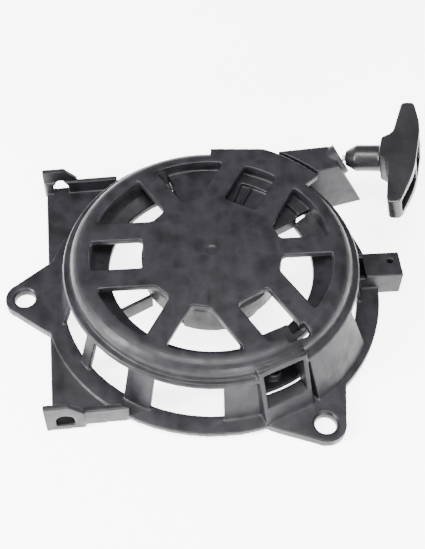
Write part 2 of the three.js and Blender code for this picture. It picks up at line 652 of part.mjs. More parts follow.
function tray() {
  const left = [TRAY_LEFT, BEAM_REACH];
  const floor = box([TRAY_LEFT, 0], [TRAY_NEAR, TRAY_FAR], [0, TRAY_FLOOR]);
  const nearBeam = box(left, [TRAY_NEAR, TRAY_NEAR + BEAM_THICKNESS], [0, BEAM_HEIGHT]);
  const farBeam = box(left, [TRAY_FAR - BEAM_THICKNESS, TRAY_FAR], [0, BEAM_HEIGHT]);
  const clipPlaces = [
    [TRAY_LEFT - CLIP_OVERHANG[0], TRAY_NEAR + BEAM_THICKNESS / 2, 0],
    [TRAY_LEFT - CLIP_OVERHANG[1], TRAY_FAR + CLIP_THICKNESS / 2, 0],
  ];
  const plates = clipPlaces.map((place) => clipPlate().translate(place));
  const holes = clipPlaces.map((place) => clipHole().translate(place));
  const farEdge = RING_RADIUS + 10;
  const beside = box([2 * TRAY_LEFT, 0], [-farEdge, farEdge], [-OVERSHOOT, CASE_HEIGHT]);
  const outsideRing = ring(RING_RADIUS - 1, 3 * RING_RADIUS, -OVERSHOOT, CASE_HEIGHT, ROUND_STEPS);
  const reach = beside.intersect(outsideRing);
  const whole = cut(joined([floor, nearBeam, farBeam, ...plates]), holes);
  return spunBy(whole.intersect(reach), TRAY_TURN_DEG);
}

function bracket() {
  const block = box(BRACKET_X, BRACKET_Y, [0, BRACKET_HEIGHT]);
  const ribX = [BRACKET_X[0] - BRACKET_RIB_REACH[0], BRACKET_X[0] + BRACKET_RIB_REACH[1]];
  const lowRib = box(ribX, [BRACKET_Y[0], BRACKET_Y[0] + BRACKET_RIB_THICKNESS], [0, BRACKET_HEIGHT - 2]);
  const highRib = box(ribX, [BRACKET_Y[1] - BRACKET_RIB_THICKNESS, BRACKET_Y[1]], [0, BRACKET_HEIGHT]);
  const screwHole = disc(BRACKET_SCREW_RADIUS, BRACKET_HEIGHT - BRACKET_SCREW_DEPTH, BRACKET_HEIGHT + OVERSHOOT)
    .translate([...BRACKET_SCREW_AT, 0]);
  return cut(joined([block, lowRib, highRib]), [screwHole]);
}

// Wedge-shaped upright prism in the x-z plane, centred on y = 0.
function sideWedge(corners, width) {
  const settings = { depth: width, bevelEnabled: false };
  const slab = new THREE.ExtrudeGeometry(outline(corners), settings).rotateX(Math.PI / 2);
  return solid(slab.translate(0, width / 2, 0));
}

function latchPocket() {
  const width = 2 * (POCKET_HALF_WIDTH + POCKET_WALL);
  const body = sideWedge([
    [POCKET_BACK, RING_THICKNESS - 2],
    [POCKET_FOOT_REACH, RING_THICKNESS - 2],
    [POCKET_FOOT_REACH, RING_THICKNESS],
    [POCKET_TOP_REACH, POCKET_TOP_Z],
    [POCKET_BACK, POCKET_TOP_Z],
  ], width);
  return spunBy(body, POCKET_TURN_DEG);
}

function latchPocketRoom() {
  const room = sideWedge([
    [POCKET_BACK + POCKET_WALL, POCKET_FLOOR_Z],
    [POCKET_FOOT_REACH + OVERSHOOT, POCKET_FLOOR_Z],
    [POCKET_FOOT_REACH + OVERSHOOT, POCKET_TOP_Z - POCKET_WALL],
    [POCKET_BACK + POCKET_WALL, POCKET_TOP_Z - POCKET_WALL],
  ], 2 * POCKET_HALF_WIDTH);
  return spunBy(room, POCKET_TURN_DEG);
}

function latchBoss() {
  const boss = ring(POCKET_BOSS_RADIUS - POCKET_BOSS_WALL, POCKET_BOSS_RADIUS, POCKET_FLOOR_Z - 1,
    POCKET_FLOOR_Z + POCKET_BOSS_HEIGHT);
  return spunBy(boss.translate([POCKET_BOSS_X, 0, 0]), POCKET_TURN_DEG);
}

function latchPort() {
  const [x, y] = PORT_AT;
  const [long, wide] = PORT_SIZE;
  const port = box([x - long / 2, x + long / 2], [y - wide / 2, y + wide / 2],
    [SLOT_CUT_BOTTOM_Z, CASE_HEIGHT + OVERSHOOT]);
  return spunBy(port, POCKET_TURN_DEG);
}

// Smooth panel that flares from the bead out to the edge of the base ring.
function flaredPanel() {
  const [from, to] = PANEL_DEG;
  const skirt = turned([
    [WALL_TOP_RADIUS - WALL_THICKNESS, BEAD_BOTTOM_Z],
    [PANEL_FOOT_RADIUS - WALL_THICKNESS, RING_THICKNESS - 1],
    [PANEL_FOOT_RADIUS, RING_THICKNESS - 1],
    [BEAD_RADIUS - 0.5, BEAD_TOP_Z - 1],
    [WALL_TOP_RADIUS - WALL_THICKNESS, BEAD_TOP_Z - 1],
    [WALL_TOP_RADIUS - WALL_THICKNESS, BEAD_BOTTOM_Z],
  ]);
  const sector = prism([[0, 0], ...arc(2 * RING_RADIUS, from, to, 4)], 0, CASE_HEIGHT);
  return skirt.intersect(sector);
}

function guideFarW(u) {
  const [start, foot] = GUIDE_FAR_W;
  return start + ((foot - start) * (u - GUIDE_START_U)) / (GUIDE_FOOT_U - GUIDE_START_U);
}

// Everything behind the leaning mouth plane, set back by a depth along its normal.
function behindMouth(depth) {
  const size = 2 * GUIDE_FOOT_U;
  const slab = box([-size, size], [-size, size], [-size, 0]);
  return onMouth(slab, -depth);
}

function guideBlock(inset, lowZ, highZ) {
  const end = GUIDE_FOOT_U + GUIDE_WALL;
  const block = prism([
    [GUIDE_START_U, GUIDE_NEAR_W + inset],
    [end, GUIDE_NEAR_W + inset],
    [end, guideFarW(end) - inset],
    [GUIDE_START_U, guideFarW(GUIDE_START_U) - inset],
  ], lowZ, highZ);
  return spunBy(block, GUIDE_TURN_DEG);
}

function ropeGuide() {
  const block = guideBlock(0, 0, GUIDE_HEIGHT).intersect(behindMouth(0));
  const groove = disc(GROOVE_RADIUS, GUIDE_HEIGHT - GROOVE_DEPTH, CASE_HEIGHT + OVERSHOOT, ROUND_STEPS);
  const lip = prism([
    [0, 0],
    ...arc(TOP_LIP_RADIUS, ...TOP_LIP_DEG, 6),
    polar(DOME_FLAT_RADIUS + SHOULDER_RADIUS, TOP_LIP_END_DEG),
  ], PLATE_UNDER_Z - 0.5, CASE_HEIGHT);
  const lipOutsideDome = cut(lip, [disc(DOME_FLAT_RADIUS, 0, CASE_HEIGHT + OVERSHOOT, ROUND_STEPS)]);
  const collar = onMouth(disc(COLLAR_RADIUS, -MOUTH_THICKNESS, COLLAR_THICKNESS, 32), 0);
  return joined([cut(block, [groove]), lipOutsideDome, collar]);
}

// Hollow of the rope guide: open below and into the dome, closed by the mouth's wall.
function guideRoom() {
  const behind = behindMouth(MOUTH_THICKNESS);
  const channel = guideBlock(GUIDE_WALL, -OVERSHOOT, GUIDE_CEILING_Z).intersect(behind);
  const bore = onMouth(disc(BUSH_RADIUS + GAP, -3 * MOUTH_THICKNESS, COLLAR_THICKNESS + OVERSHOOT), 0);
  const seat = onMouth(
    disc(BUSH_FLANGE_RADIUS + GAP, COLLAR_THICKNESS - BUSH_FLANGE_THICKNESS - GAP, COLLAR_THICKNESS + OVERSHOOT),
    0,
  );
  return [channel, bore, seat];
}

function starterCase() {
  const outside = joined([
    ...EAR_ANGLES_DEG.map(ear),
    tray(),
    bracket(),
    flaredPanel(),
    ringSector(RING_RADIUS - RING_THICKNESS, RING_RADIUS + RING_SWELL, RING_SWELL_DEG, 0, RING_THICKNESS),
    ropeGuide(),
    latchPocket(),
  ]);
  const post = disc(POST_RADIUS, POST_END_Z, PLATE_UNDER_Z + 0.5);
  const shell = cut(domeShell(), sideWindows());
  const strut = radialWall(STRUT_DEG, STRUT_THICKNESS, INLET_LIP_TOP_Z - STRUT_HEIGHT, INLET_LIP_TOP_Z);
  const inside = joined([post, inletLedge(), drum(), ropeRoof(), strut, latchPocketShell()]);
  const body = joined([shell, cut(outside, [innerRoom()]), inside]);
  const gateMark = disc(GATE_MARK_RADIUS, CASE_HEIGHT - GATE_MARK_DEPTH, CASE_HEIGHT + OVERSHOOT);
  const postBore = disc(POST_BORE_RADIUS, POST_END_Z - OVERSHOOT, CASE_HEIGHT - POST_BORE_TOP_WALL);
  const cutters = [
    ...topSlots(),
    ...EAR_ANGLES_DEG.map(earHole),
    ...guideRoom(),
    latchPocketRoom(),
    latchPort(),
    gateMark,
    postBore,
    ropePassage(),
  ];
  return cut(body, cutters).add(latchBoss());
}

// Where the rope comes clear of the reel's rim.
function ropeStart() {
  const clear = Math.sqrt((REEL_RADIUS + ROPE_RADIUS + GAP) ** 2 - ROPE_W ** 2);
  return new THREE.Vector3(clear, ROPE_W, ROPE_Z)
    .applyAxisAngle(new THREE.Vector3(0, 0, 1), ROPE_AIM_DEG * DEG);
}

// Straight way through the case for the level part of the rope.
function ropePassage() {
  const path = [ropeStart().toArray(), ROPE_BEND.toArray()];
  return tube(path, ROPE_RADIUS + ROPE_ROOM, ROPE_SIDES, 2);
}

// The part of the latch pocket that reaches inside the dome.
function latchPocketShell() {
  const width = 2 * (POCKET_HALF_WIDTH + POCKET_WALL);
  const inside = sideWedge([
    [POCKET_BACK, POCKET_FLOOR_Z - POCKET_WALL],
    [WALL_FOOT_RADIUS, POCKET_FLOOR_Z - POCKET_WALL],
    [WALL_FOOT_RADIUS - 3, PLATE_UNDER_Z],
    [POCKET_BACK, PLATE_UNDER_Z + 0.5],
  ], width);
  return spunBy(inside, POCKET_TURN_DEG).intersect(disc(WALL_TOP_RADIUS, 0, CASE_HEIGHT, ROUND_STEPS));
}

// ---------------------------------------------------------------- pieces on the centre post

function postSleeve() {
  return ring(SLEEVE_INNER, SLEEVE_OUTER, HUB_END_Z, CAVITY_FLOOR_Z);
}

function thrustWasher() {
  return ring(SCREW_SHANK_RADIUS + GAP, POST_RADIUS, WASHER_LOW_Z, WASHER_HIGH_Z);
}

function centreScrew() {
  const headLow = SCREW_HEAD_TOP_Z - SCREW_HEAD_HEIGHT;
  const body = turned([
    [0, headLow],
    [SCREW_HEAD_RADIUS, headLow],
    [SCREW_HEAD_RADIUS, SCREW_HEAD_TOP_Z],
    [SCREW_SHANK_RADIUS, SCREW_HEAD_TOP_Z],
    [SCREW_SHANK_RADIUS, WASHER_HIGH_Z],
    [SCREW_THREAD_RADIUS, WASHER_HIGH_Z],
    [SCREW_THREAD_RADIUS, WASHER_HIGH_Z + SCREW_THREAD_LENGTH],
    [0, WASHER_HIGH_Z + SCREW_THREAD_LENGTH],
  ], SMALL_STEPS);
  const hexagon = disc(SCREW_HEX_RADIUS, headLow - SCREW_HEX_STANDOUT, headLow + OVERSHOOT, 6);
  return body.add(hexagon);
}

// ---------------------------------------------------------------- reel, spring and rope on it

function reelRibs() {
  const ribs = [];
  for (let i = 0; i < REEL_RIBS; i += 1) {
    const rib = box([REEL_RADIUS - REEL_RIB_LENGTH, REEL_RADIUS - 0.5], [-REEL_RIB_WIDTH / 2, REEL_RIB_WIDTH / 2],
      [REEL_LOW_Z - REEL_RIB_HEIGHT, REEL_LOW_Z + 0.5]);
    ribs.push(spunBy(rib, (360 * (i + 0.5)) / REEL_RIBS));
  }
  return ribs;
}

function reel() {
  const body = turned([
    [REEL_BORE, HUB_END_Z],
    [HUB_RADIUS, HUB_END_Z],
    [HUB_RADIUS, REEL_LOW_Z],
    [REEL_RADIUS, REEL_LOW_Z],
    [REEL_RADIUS, GROOVE_LOW_Z],
    [REEL_CORE_RADIUS, GROOVE_LOW_Z],
    [REEL_CORE_RADIUS, GROOVE_HIGH_Z],
    [REEL_RADIUS, GROOVE_HIGH_Z],
    [REEL_RADIUS, REEL_HIGH_Z],
    [CAVITY_RADIUS, REEL_HIGH_Z],
    [CAVITY_RADIUS, CAVITY_FLOOR_Z],
    [REEL_BORE, CAVITY_FLOOR_Z],
    [REEL_BORE, HUB_END_Z],
  ], 48);
  const posts = PAWL_ANGLES_DEG.map((angle) => {
    const post = disc(PAWL_POST_RADIUS, PAWL_LOW_Z, REEL_LOW_Z + 0.5);
    return post.translate([...polar(PAWL_PIVOT_RADIUS, angle), 0]);
  });
  const ropeHole = disc(ROPE_RADIUS + RUNNING_GAP, REEL_LOW_Z - OVERSHOOT, GROOVE_LOW_Z + OVERSHOOT)
    .translate(reelKnotPlace());
  return cut(joined([body, ...posts, ...reelRibs()]), [ropeHole]);
}

function reelKnotPlace() {
  return [...polar(REEL_CORE_RADIUS + ROPE_RADIUS + RUNNING_GAP, REEL_KNOT_DEG), 0];
}

function ball(radius, steps) {
  const profile = arc(radius, -90, 90, steps / 2).map(([r, z]) => [r, z]);
  profile[0][0] = 0;
  profile[profile.length - 1][0] = 0;
  return turned(profile, steps);
}

// The rope's end knot, under the lower flange.
function reelKnot() {
  const [x, y] = reelKnotPlace();
  return ball(REEL_KNOT_RADIUS, 12).translate([x, y, REEL_LOW_Z - GAP - REEL_KNOT_RADIUS]);
}

function ropeWinding() {
  const low = GROOVE_LOW_Z + GAP;
  const high = GROOVE_HIGH_Z - GAP;
  const inner = REEL_CORE_RADIUS + GAP;
  return turned([
    [inner, low],
    [WINDING_RADIUS - ROPE_RADIUS, low],
    [WINDING_RADIUS, low + ROPE_RADIUS],
    [WINDING_RADIUS, high - ROPE_RADIUS],
    [WINDING_RADIUS - ROPE_RADIUS, high],
    [inner, high],
    [inner, low],
  ], 48);
}

// Flat strip wound into a spiral between the post and the wall of the reel's cavity.
function recoilSpring() {
  const innerRadius = POST_RADIUS + GAP + SPRING_STRIP / 2;
  const outerRadius = CAVITY_RADIUS - GAP - SPRING_STRIP / 2;
  const steps = SPRING_TURNS * SPRING_STEPS_PER_TURN;
  const side = (offset) => {
    const points = [];
    for (let i = 0; i <= steps; i += 1) {
      const radius = innerRadius + ((outerRadius - innerRadius) * i) / steps + offset;
      points.push(polar(radius, (360 * i) / SPRING_STEPS_PER_TURN));
    }
    return points;
  };
  const strip = [...side(SPRING_STRIP / 2), ...side(-SPRING_STRIP / 2).reverse()];
  return prism(strip, CAVITY_FLOOR_Z + GAP, CAVITY_FLOOR_Z + GAP + SPRING_HEIGHT);
}

// ---------------------------------------------------------------- pawls and ratchet guide

// A pawl about its pivot at the origin, tip towards -Y, cam pin below.
function pawl() {
  const arm = prism([
    [PAWL_HUB_RADIUS, 0, 2],
    [PAWL_HUB_RADIUS, -PAWL_LENGTH * 0.55, 3],
    [PAWL_TIP_WIDTH, -PAWL_LENGTH],
    [PAWL_TIP_WIDTH - PAWL_TIP_THICKNESS, -PAWL_LENGTH],
    [-PAWL_HUB_RADIUS + 3, -PAWL_LENGTH * 0.45, 3],
    [-PAWL_HUB_RADIUS, 0, 1],
  ], PAWL_LOW_Z, PAWL_HIGH_Z);
  const hub = disc(PAWL_HUB_RADIUS, PAWL_LOW_Z, PAWL_HIGH_Z);
  const bore = disc(PAWL_POST_RADIUS + GAP, PAWL_LOW_Z - OVERSHOOT, PAWL_HIGH_Z + OVERSHOOT);
  const pin = disc(PAWL_PIN_RADIUS, RATCHET_LOW_Z + GAP, PAWL_LOW_Z + 0.5, 12)
    .translate([...PAWL_PIN_AT, 0]);
  return cut(arm.add(hub), [bore]).add(pin);
}

// Where the cam pin stands in the ratchet guide's frame as the pawl goes from in to out.
function pinTrack() {
  const track = [];
  for (let i = 0; i <= RATCHET_SLOT_STEPS; i += 1) {
    const share = i / RATCHET_SLOT_STEPS;
    const swing = share * PAWL_SWING_DEG * DEG;
    const pin = new THREE.Vector2(...PAWL_PIN_AT).rotateAround(new THREE.Vector2(), swing);
    pin.x += PAWL_PIVOT_RADIUS;
    pin.rotateAround(new THREE.Vector2(), -share * GUIDE_SWING_DEG * DEG);
    track.push(pin);
  }
  return track;
}

function camSlot() {
  const radius = PAWL_PIN_RADIUS + RUNNING_GAP;
  const track = pinTrack();
  const parts = track.map((pin) => (
    disc(radius, RATCHET_LOW_Z - OVERSHOOT, RATCHET_HIGH_Z + OVERSHOOT, 16).translate([pin.x, pin.y, 0])
  ));
  for (let i = 0; i + 1 < track.length; i += 1) {
    const along = track[i + 1].clone().sub(track[i]);
    const link = box([0, along.length()], [-radius, radius],
      [RATCHET_LOW_Z - OVERSHOOT, RATCHET_HIGH_Z + OVERSHOOT]);
    parts.push(spunBy(link, along.angle() / DEG).translate([track[i].x, track[i].y, 0]));
  }
  return joined(parts);
}

function ratchetGuide() {
  const plate = turned(
    ringProfile(SCREW_SHANK_RADIUS + GAP, RATCHET_RADIUS, RATCHET_LOW_Z, RATCHET_HIGH_Z),
    48,
  );
  const lugHigh = HUB_END_Z - RUNNING_GAP;
  const [lugDepth, lugWidth] = RATCHET_LUG_SIZE;
  const lugStart = POST_RADIUS + RATCHET_LUG_OFFSET;
  const lug = box([lugStart, lugStart + lugDepth], [-lugWidth / 2, lugWidth / 2], [RATCHET_HIGH_Z - 0.5, lugHigh]);
  const slots = PAWL_ANGLES_DEG.map((angle) => spunBy(camSlot(), angle));
  return cut(plate.add(spunBy(lug, RATCHET_LUG_DEG)), slots);
}

// Open wire ring that grips the post and hooks onto the ratchet guide's lug.
function frictionSpring() {
  const radius = POST_RADIUS + GAP + FRICTION_WIRE;
  const z = (RATCHET_HIGH_Z + HUB_END_Z) / 2;
  const besideLug = RATCHET_LUG_SIZE[1] / 2 + GAP + FRICTION_WIRE;
  const halfGap = Math.asin(besideLug / radius) / DEG;
  const loop = arc(radius, halfGap, 360 - halfGap, 24).map(([x, y]) => [x, y, z]);
  const hook = (side) => [radius + FRICTION_HOOK, side * besideLug, z];
  return spunBy(tube([hook(1), ...loop, hook(-1)], FRICTION_WIRE, 6, 36), RATCHET_LUG_DEG);
}

// Return spring on a pawl's post: one round of wire with two legs.
function pawlSpring() {
  const radius = PAWL_POST_RADIUS + GAP + PAWL_SPRING_WIRE;
  const z = (PAWL_HIGH_Z + REEL_LOW_Z) / 2;
  const loop = arc(radius, 150, 390, 16).map(([x, y]) => [x, y, z]);
  const legs = [[-radius - 0.5, -PAWL_SPRING_LEG, z], [radius + 1.5, -PAWL_SPRING_LEG, z]];
  return tube([legs[0], ...loop.slice(0, 13), legs[1]], PAWL_SPRING_WIRE, 6, 30);
}

// ---------------------------------------------------------------- rope beyond the reel

// The rope runs level from the reel, then turns up into the leaning bore of the mouth.
function ropeRun() {
  const start = ropeStart();
  const level = start.clone().lerp(ROPE_BEND, 0.5);
  const beforeBend = start.clone().lerp(ROPE_BEND, 0.93);
  const inBush = [mouthPoint(MOUTH_THICKNESS), mouthPoint(0), mouthPoint(-COLLAR_THICKNESS / 2)];
  const points = [start, level, beforeBend, ...inBush];
  return tube(points.map((p) => p.toArray()), ROPE_RADIUS, ROPE_SIDES, 18);
}

function guideBush() {
  const bush = turned([
    [BUSH_BORE, -MOUTH_THICKNESS],
    [BUSH_RADIUS, -MOUTH_THICKNESS],
    [BUSH_RADIUS, COLLAR_THICKNESS - BUSH_FLANGE_THICKNESS],
    [BUSH_FLANGE_RADIUS, COLLAR_THICKNESS - BUSH_FLANGE_THICKNESS],
    [BUSH_FLANGE_RADIUS, COLLAR_THICKNESS],
    [BUSH_BORE + 0.8, COLLAR_THICKNESS],
    [BUSH_BORE, COLLAR_THICKNESS - 0.8],
    [BUSH_BORE, -MOUTH_THICKNESS],
  ], SMALL_STEPS);
  return onMouth(bush, 0);
}

// ---------------------------------------------------------------- grip

// Turns a shape from the grip's frame (a, b, t) = (x, y, z) into place, nose at the guide.
function onGrip(shape) {
  return shape.rotate([0, -GRIP_RISE_DEG, 0]).rotate([0, 0, GRIP_PLAN_DEG]).translate(GRIP_NOSE.toArray());
}

// The plan view of the grip, from its stem to the palm side.
function gripPlan() {
  const half = GRIP_LENGTH / 2;
  const [endInner, endPalm] = GRIP_END_DEPTHS;
  const side = (sign) => [
    [GRIP_BAR_INNER - 6, sign * GRIP_STEM_HALF, 4],
    [GRIP_BAR_INNER + 1, sign * (GRIP_STEM_HALF + 3.5), 5],
    [endInner, sign * half, 4],
    [endPalm, sign * half, 4],
    [GRIP_DEPTH - 1.5, sign * GRIP_LENGTH * 0.22, 9],
  ];
  return [...side(-1).reverse(), ...side(1)];
}

// The side view of the grip: thick in the middle, thinner at the ends of the T.
function gripSideView() {
  const half = GRIP_LENGTH / 2 + 1;
  return outline([
    [-half, -GRIP_END_HALF_THICKNESS, 3],
    [-GRIP_STEM_HALF - 6, -GRIP_HALF_THICKNESS, 12],
    [GRIP_STEM_HALF + 6, -GRIP_HALF_THICKNESS, 12],
    [half, -GRIP_END_HALF_THICKNESS, 3],
    [half, GRIP_END_HALF_THICKNESS, 3],
    [GRIP_STEM_HALF + 6, GRIP_HALF_THICKNESS, 12],
    [-GRIP_STEM_HALF - 6, GRIP_HALF_THICKNESS, 12],
    [-half, GRIP_END_HALF_THICKNESS, 3],
  ]);
}

function gripPockets() {
  const inner = GRIP_POCKET_FLOOR;
  const deep = GRIP_DEPTH + OVERSHOOT;
  const wall = GRIP_WALL / 2;
  const end = GRIP_LENGTH / 2 - GRIP_WALL - 1;
  const thick = GRIP_END_HALF_THICKNESS - GRIP_WALL;
  const middle = GRIP_HALF_THICKNESS - GRIP_WALL;
  const wing = (sign) => prism([
    [inner, sign * (GRIP_RIB_HALF_SPAN + wall)],
    [deep, sign * (GRIP_RIB_HALF_SPAN + wall)],
    [deep, sign * end, 2],
    [inner + 1.5, sign * end, 2],
  ], -thick, thick);
  const centre = box([inner, deep], [-GRIP_RIB_HALF_SPAN + wall, GRIP_RIB_HALF_SPAN - wall], [-middle, middle]);
  return [wing(1), wing(-1), centre];
}

function grip() {
  const plan = prism(gripPlan(), -GRIP_HALF_THICKNESS, GRIP_HALF_THICKNESS);
  const settings = { depth: GRIP_DEPTH + 2, bevelEnabled: false, curveSegments: 6 };
  const sideView = new THREE.ExtrudeGeometry(gripSideView(), settings);
  // the side view is drawn with b across and t up, and swept along a
  const basis = new THREE.Matrix4().makeBasis(
    new THREE.Vector3(0, 1, 0),
    new THREE.Vector3(0, 0, 1),
    new THREE.Vector3(1, 0, 0),
  );
  const swept = solid(sideView.applyMatrix4(basis).translate(-1, 0, 0));
  const stem = disc(GRIP_STEM_HALF, GRIP_NOSE_LENGTH, GRIP_BAR_INNER + 6, 32);
  const nose = turned([
    [0, 0],
    [GRIP_NOSE_RADIUS, 0],
    [GRIP_STEM_HALF, GRIP_NOSE_LENGTH],
    [0, GRIP_NOSE_LENGTH],
  ], 32);
  const roundStem = stem.add(nose).rotate([0, 90, 0]);
  const bar = plan.intersect(swept);
  const barOnly = bar.intersect(box([GRIP_BAR_INNER - 5, GRIP_DEPTH + 2], [-GRIP_LENGTH, GRIP_LENGTH], [-20, 20]));
  const ropeBore = disc(GRIP_ROPE_BORE, -OVERSHOOT, GRIP_DEPTH).rotate([0, 90, 0]);
  return onGrip(cut(barOnly.add(roundStem), [...gripPockets(), ropeBore]));
}

function knotWasher() {
  const low = GRIP_POCKET_FLOOR + GAP;
  const outer = GRIP_ROPE_BORE + KNOT_WASHER_RIM;
  return onGrip(ring(GRIP_ROPE_BORE, outer, low, low + KNOT_WASHER_THICKNESS).rotate([0, 90, 0]));
}

function gripKnot() {
  const start = GRIP_POCKET_FLOOR + 2 * GAP + KNOT_WASHER_THICKNESS;
  return onGrip(ball(GRIP_KNOT_RADIUS, 12).translate([start + GRIP_KNOT_RADIUS, 0, 0]));
}

// The rope between the guide's mouth and the knot's washer.
function ropeTail() {
  const out = 1;
  const from = -GRIP_STANDOFF + out;
  const to = GRIP_POCKET_FLOOR - GAP;
  return onGrip(tube([[from, 0, 0], [(from + to) / 2, 0, 0], [to, 0, 0]], ROPE_RADIUS, ROPE_SIDES, 10));
}

// ---------------------------------------------------------------- assembly

const FINISHES = {
  mouldedNylon: { color: 0x26272b, roughness: 0.55, metalness: 0 },
  gripNylon: { color: 0x1f2023, roughness: 0.42, metalness: 0 },
  reelNylon: { color: 0x2c2d30, roughness: 0.6, metalness: 0 },
  steel: { color: 0x9a9da1, roughness: 0.35, metalness: 1 },
  springSteel: { color: 0x5d6166, roughness: 0.4, metalness: 1 },
  brass: { color: 0xb49a5a, roughness: 0.4, metalness: 1 },
  rope: { color: 0xe6dfcb, roughness: 0.9, metalness: 0 },
};

const group = new THREE.Group();

function place(name, shape, finish) {
  const mesh = new THREE.Mesh(geometryOf(shape), new THREE.MeshStandardMaterial(FINISHES[finish]));
  mesh.name = name;
  group.add(mesh);
}

place('starter_case', starterCase(), 'mouldedNylon');
place('rope_guide_bush', guideBush(), 'steel');
place('post_sleeve', postSleeve(), 'brass');
place('thrust_washer', thrustWasher(), 'steel');
place('centre_screw', centreScrew(), 'steel');
place('reel', reel(), 'reelNylon');
place('recoil_spring', recoilSpring(), 'springSteel');
place('rope_winding', ropeWinding(), 'rope');
place('reel_knot', reelKnot(), 'rope');
place('rope_run', ropeRun(), 'rope');
place('ratchet_guide', ratchetGuide(), 'reelNylon');
place('friction_spring', frictionSpring(), 'springSteel');
PAWL_ANGLES_DEG.forEach((angle, i) => {
  const letter = 'ab'[i];
  const onReel = (shape) => spunBy(shape.translate([PAWL_PIVOT_RADIUS, 0, 0]), angle);
  place(`pawl_${letter}`, onReel(pawl()), 'steel');
  place(`pawl_spring_${letter}`, onReel(pawlSpring()), 'springSteel');
});
place('grip', grip(), 'gripNylon');
place('knot_washer', knotWasher(), 'steel');
place('grip_knot', gripKnot(), 'rope');
place('rope_tail', ropeTail(), 'rope');

// The origin is the middle of the assembly's footprint, on the mounting plane.
const extent = new THREE.Box3().setFromObject(group);
const middle = extent.getCenter(new THREE.Vector3());
group.position.set(-middle.x, -middle.y, -extent.min.z);

export default group;
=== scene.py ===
"""Recoil starter: the look of each piece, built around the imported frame. Metres, +Z up."""

import json
import math

import bmesh
import bpy
from mathutils import Matrix, Vector

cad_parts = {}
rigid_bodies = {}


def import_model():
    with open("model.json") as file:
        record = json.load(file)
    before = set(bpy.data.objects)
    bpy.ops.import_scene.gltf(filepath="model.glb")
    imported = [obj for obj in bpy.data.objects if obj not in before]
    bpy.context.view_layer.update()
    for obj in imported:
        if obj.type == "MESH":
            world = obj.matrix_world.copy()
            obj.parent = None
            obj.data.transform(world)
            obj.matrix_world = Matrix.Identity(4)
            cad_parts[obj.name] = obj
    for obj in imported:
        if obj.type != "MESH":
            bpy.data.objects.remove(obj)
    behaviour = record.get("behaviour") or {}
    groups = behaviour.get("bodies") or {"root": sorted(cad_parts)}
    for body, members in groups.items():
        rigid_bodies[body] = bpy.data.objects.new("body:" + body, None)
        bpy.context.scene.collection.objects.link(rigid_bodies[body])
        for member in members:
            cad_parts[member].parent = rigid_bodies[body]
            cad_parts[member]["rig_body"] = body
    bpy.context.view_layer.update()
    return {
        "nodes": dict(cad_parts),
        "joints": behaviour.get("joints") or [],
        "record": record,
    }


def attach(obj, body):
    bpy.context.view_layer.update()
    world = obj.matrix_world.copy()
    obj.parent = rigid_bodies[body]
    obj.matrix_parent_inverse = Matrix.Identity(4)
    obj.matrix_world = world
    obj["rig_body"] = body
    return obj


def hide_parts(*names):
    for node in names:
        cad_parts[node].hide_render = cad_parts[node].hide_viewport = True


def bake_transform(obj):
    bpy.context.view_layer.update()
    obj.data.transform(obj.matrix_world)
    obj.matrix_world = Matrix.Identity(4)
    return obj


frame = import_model()

MM = 0.001
JOINTS = {joint["name"]: joint for joint in frame["joints"]}
SPIN = Vector(JOINTS["reel_spin"]["pos_m"])
SPIN_AXIS = Vector((SPIN.x, SPIN.y, 0))


# ---------------------------------------------------------------- camera, floor and light

CAMERA_DISTANCE = 0.53334
CAMERA_ELEVATION = math.radians(52.1)
CAMERA_AZIMUTH = math.radians(5.75)
CAMERA_ROLL = math.radians(1.51)
CAMERA_AIM = Vector((0.00207, 0.01298, 0))  # from the spin axis, on the mounting plane
CAMERA_LENS = 62.3


def add_camera():
    data = bpy.data.cameras.new("camera")
    data.lens = CAMERA_LENS
    camera = bpy.data.objects.new("camera", data)
    back = Vector((0, -math.cos(CAMERA_ELEVATION), math.sin(CAMERA_ELEVATION)))
    back.rotate(Matrix.Rotation(-CAMERA_AZIMUTH, 3, "Z"))
    camera.location = SPIN_AXIS + CAMERA_AIM + back * CAMERA_DISTANCE
    facing = (-back).to_track_quat("-Z", "Y").to_matrix()
    turned = facing @ Matrix.Rotation(CAMERA_ROLL, 3, "Z")
    camera.rotation_euler = turned.to_euler()
    bpy.context.scene.collection.objects.link(camera)
    bpy.context.scene.camera = camera


FLOOR_HALF = 8.0
FLOOR_DROP = 0.5 * MM  # below the mounting plane


def add_floor():
    mesh = bpy.data.meshes.new("floor")
    corners = [(-1, -1), (1, -1), (1, 1), (-1, 1)]
    verts = [(x * FLOOR_HALF, y * FLOOR_HALF, -FLOOR_DROP) for x, y in corners]
    mesh.from_pydata(verts, [], [(0, 1, 2, 3)])
    floor = bpy.data.objects.new("floor", mesh)
    bpy.context.scene.collection.objects.link(floor)
    material = bpy.data.materials.new("floor")
    material.use_nodes = True
    paint = material.node_tree.nodes["Principled BSDF"]
    paint.inputs["Base Color"].default_value = (0.95, 0.95, 0.95, 1)
    paint.inputs["Roughness"].default_value = 0.9
    paint.inputs["Emission Color"].default_value = (1, 1, 1, 1)
    paint.inputs["Emission Strength"].default_value = 4.5
    mesh.materials.append(material)


# name: place, size and power in watts, each aimed at the middle of the part
LIGHTS = {
    "overhead": ((0.0, -0.1, 0.9), (0.7, 0.4), 18),
    "left": ((-0.85, -0.3, 0.5), (0.2, 0.7), 34),
    "front": ((0.25, -0.9, 0.3), (0.7, 0.12), 16),
}
SKY_STRENGTH = 0.55


def add_area_light(name, at, size, power):
    data = bpy.data.lights.new(name, "AREA")
    data.shape = "RECTANGLE"
    data.size, data.size_y = size
    data.energy = power
    light = bpy.data.objects.new(name, data)
    light.location = Vector(at)
    light.rotation_euler = (-Vector(at)).to_track_quat("-Z", "Y").to_euler()
    bpy.context.scene.collection.objects.link(light)


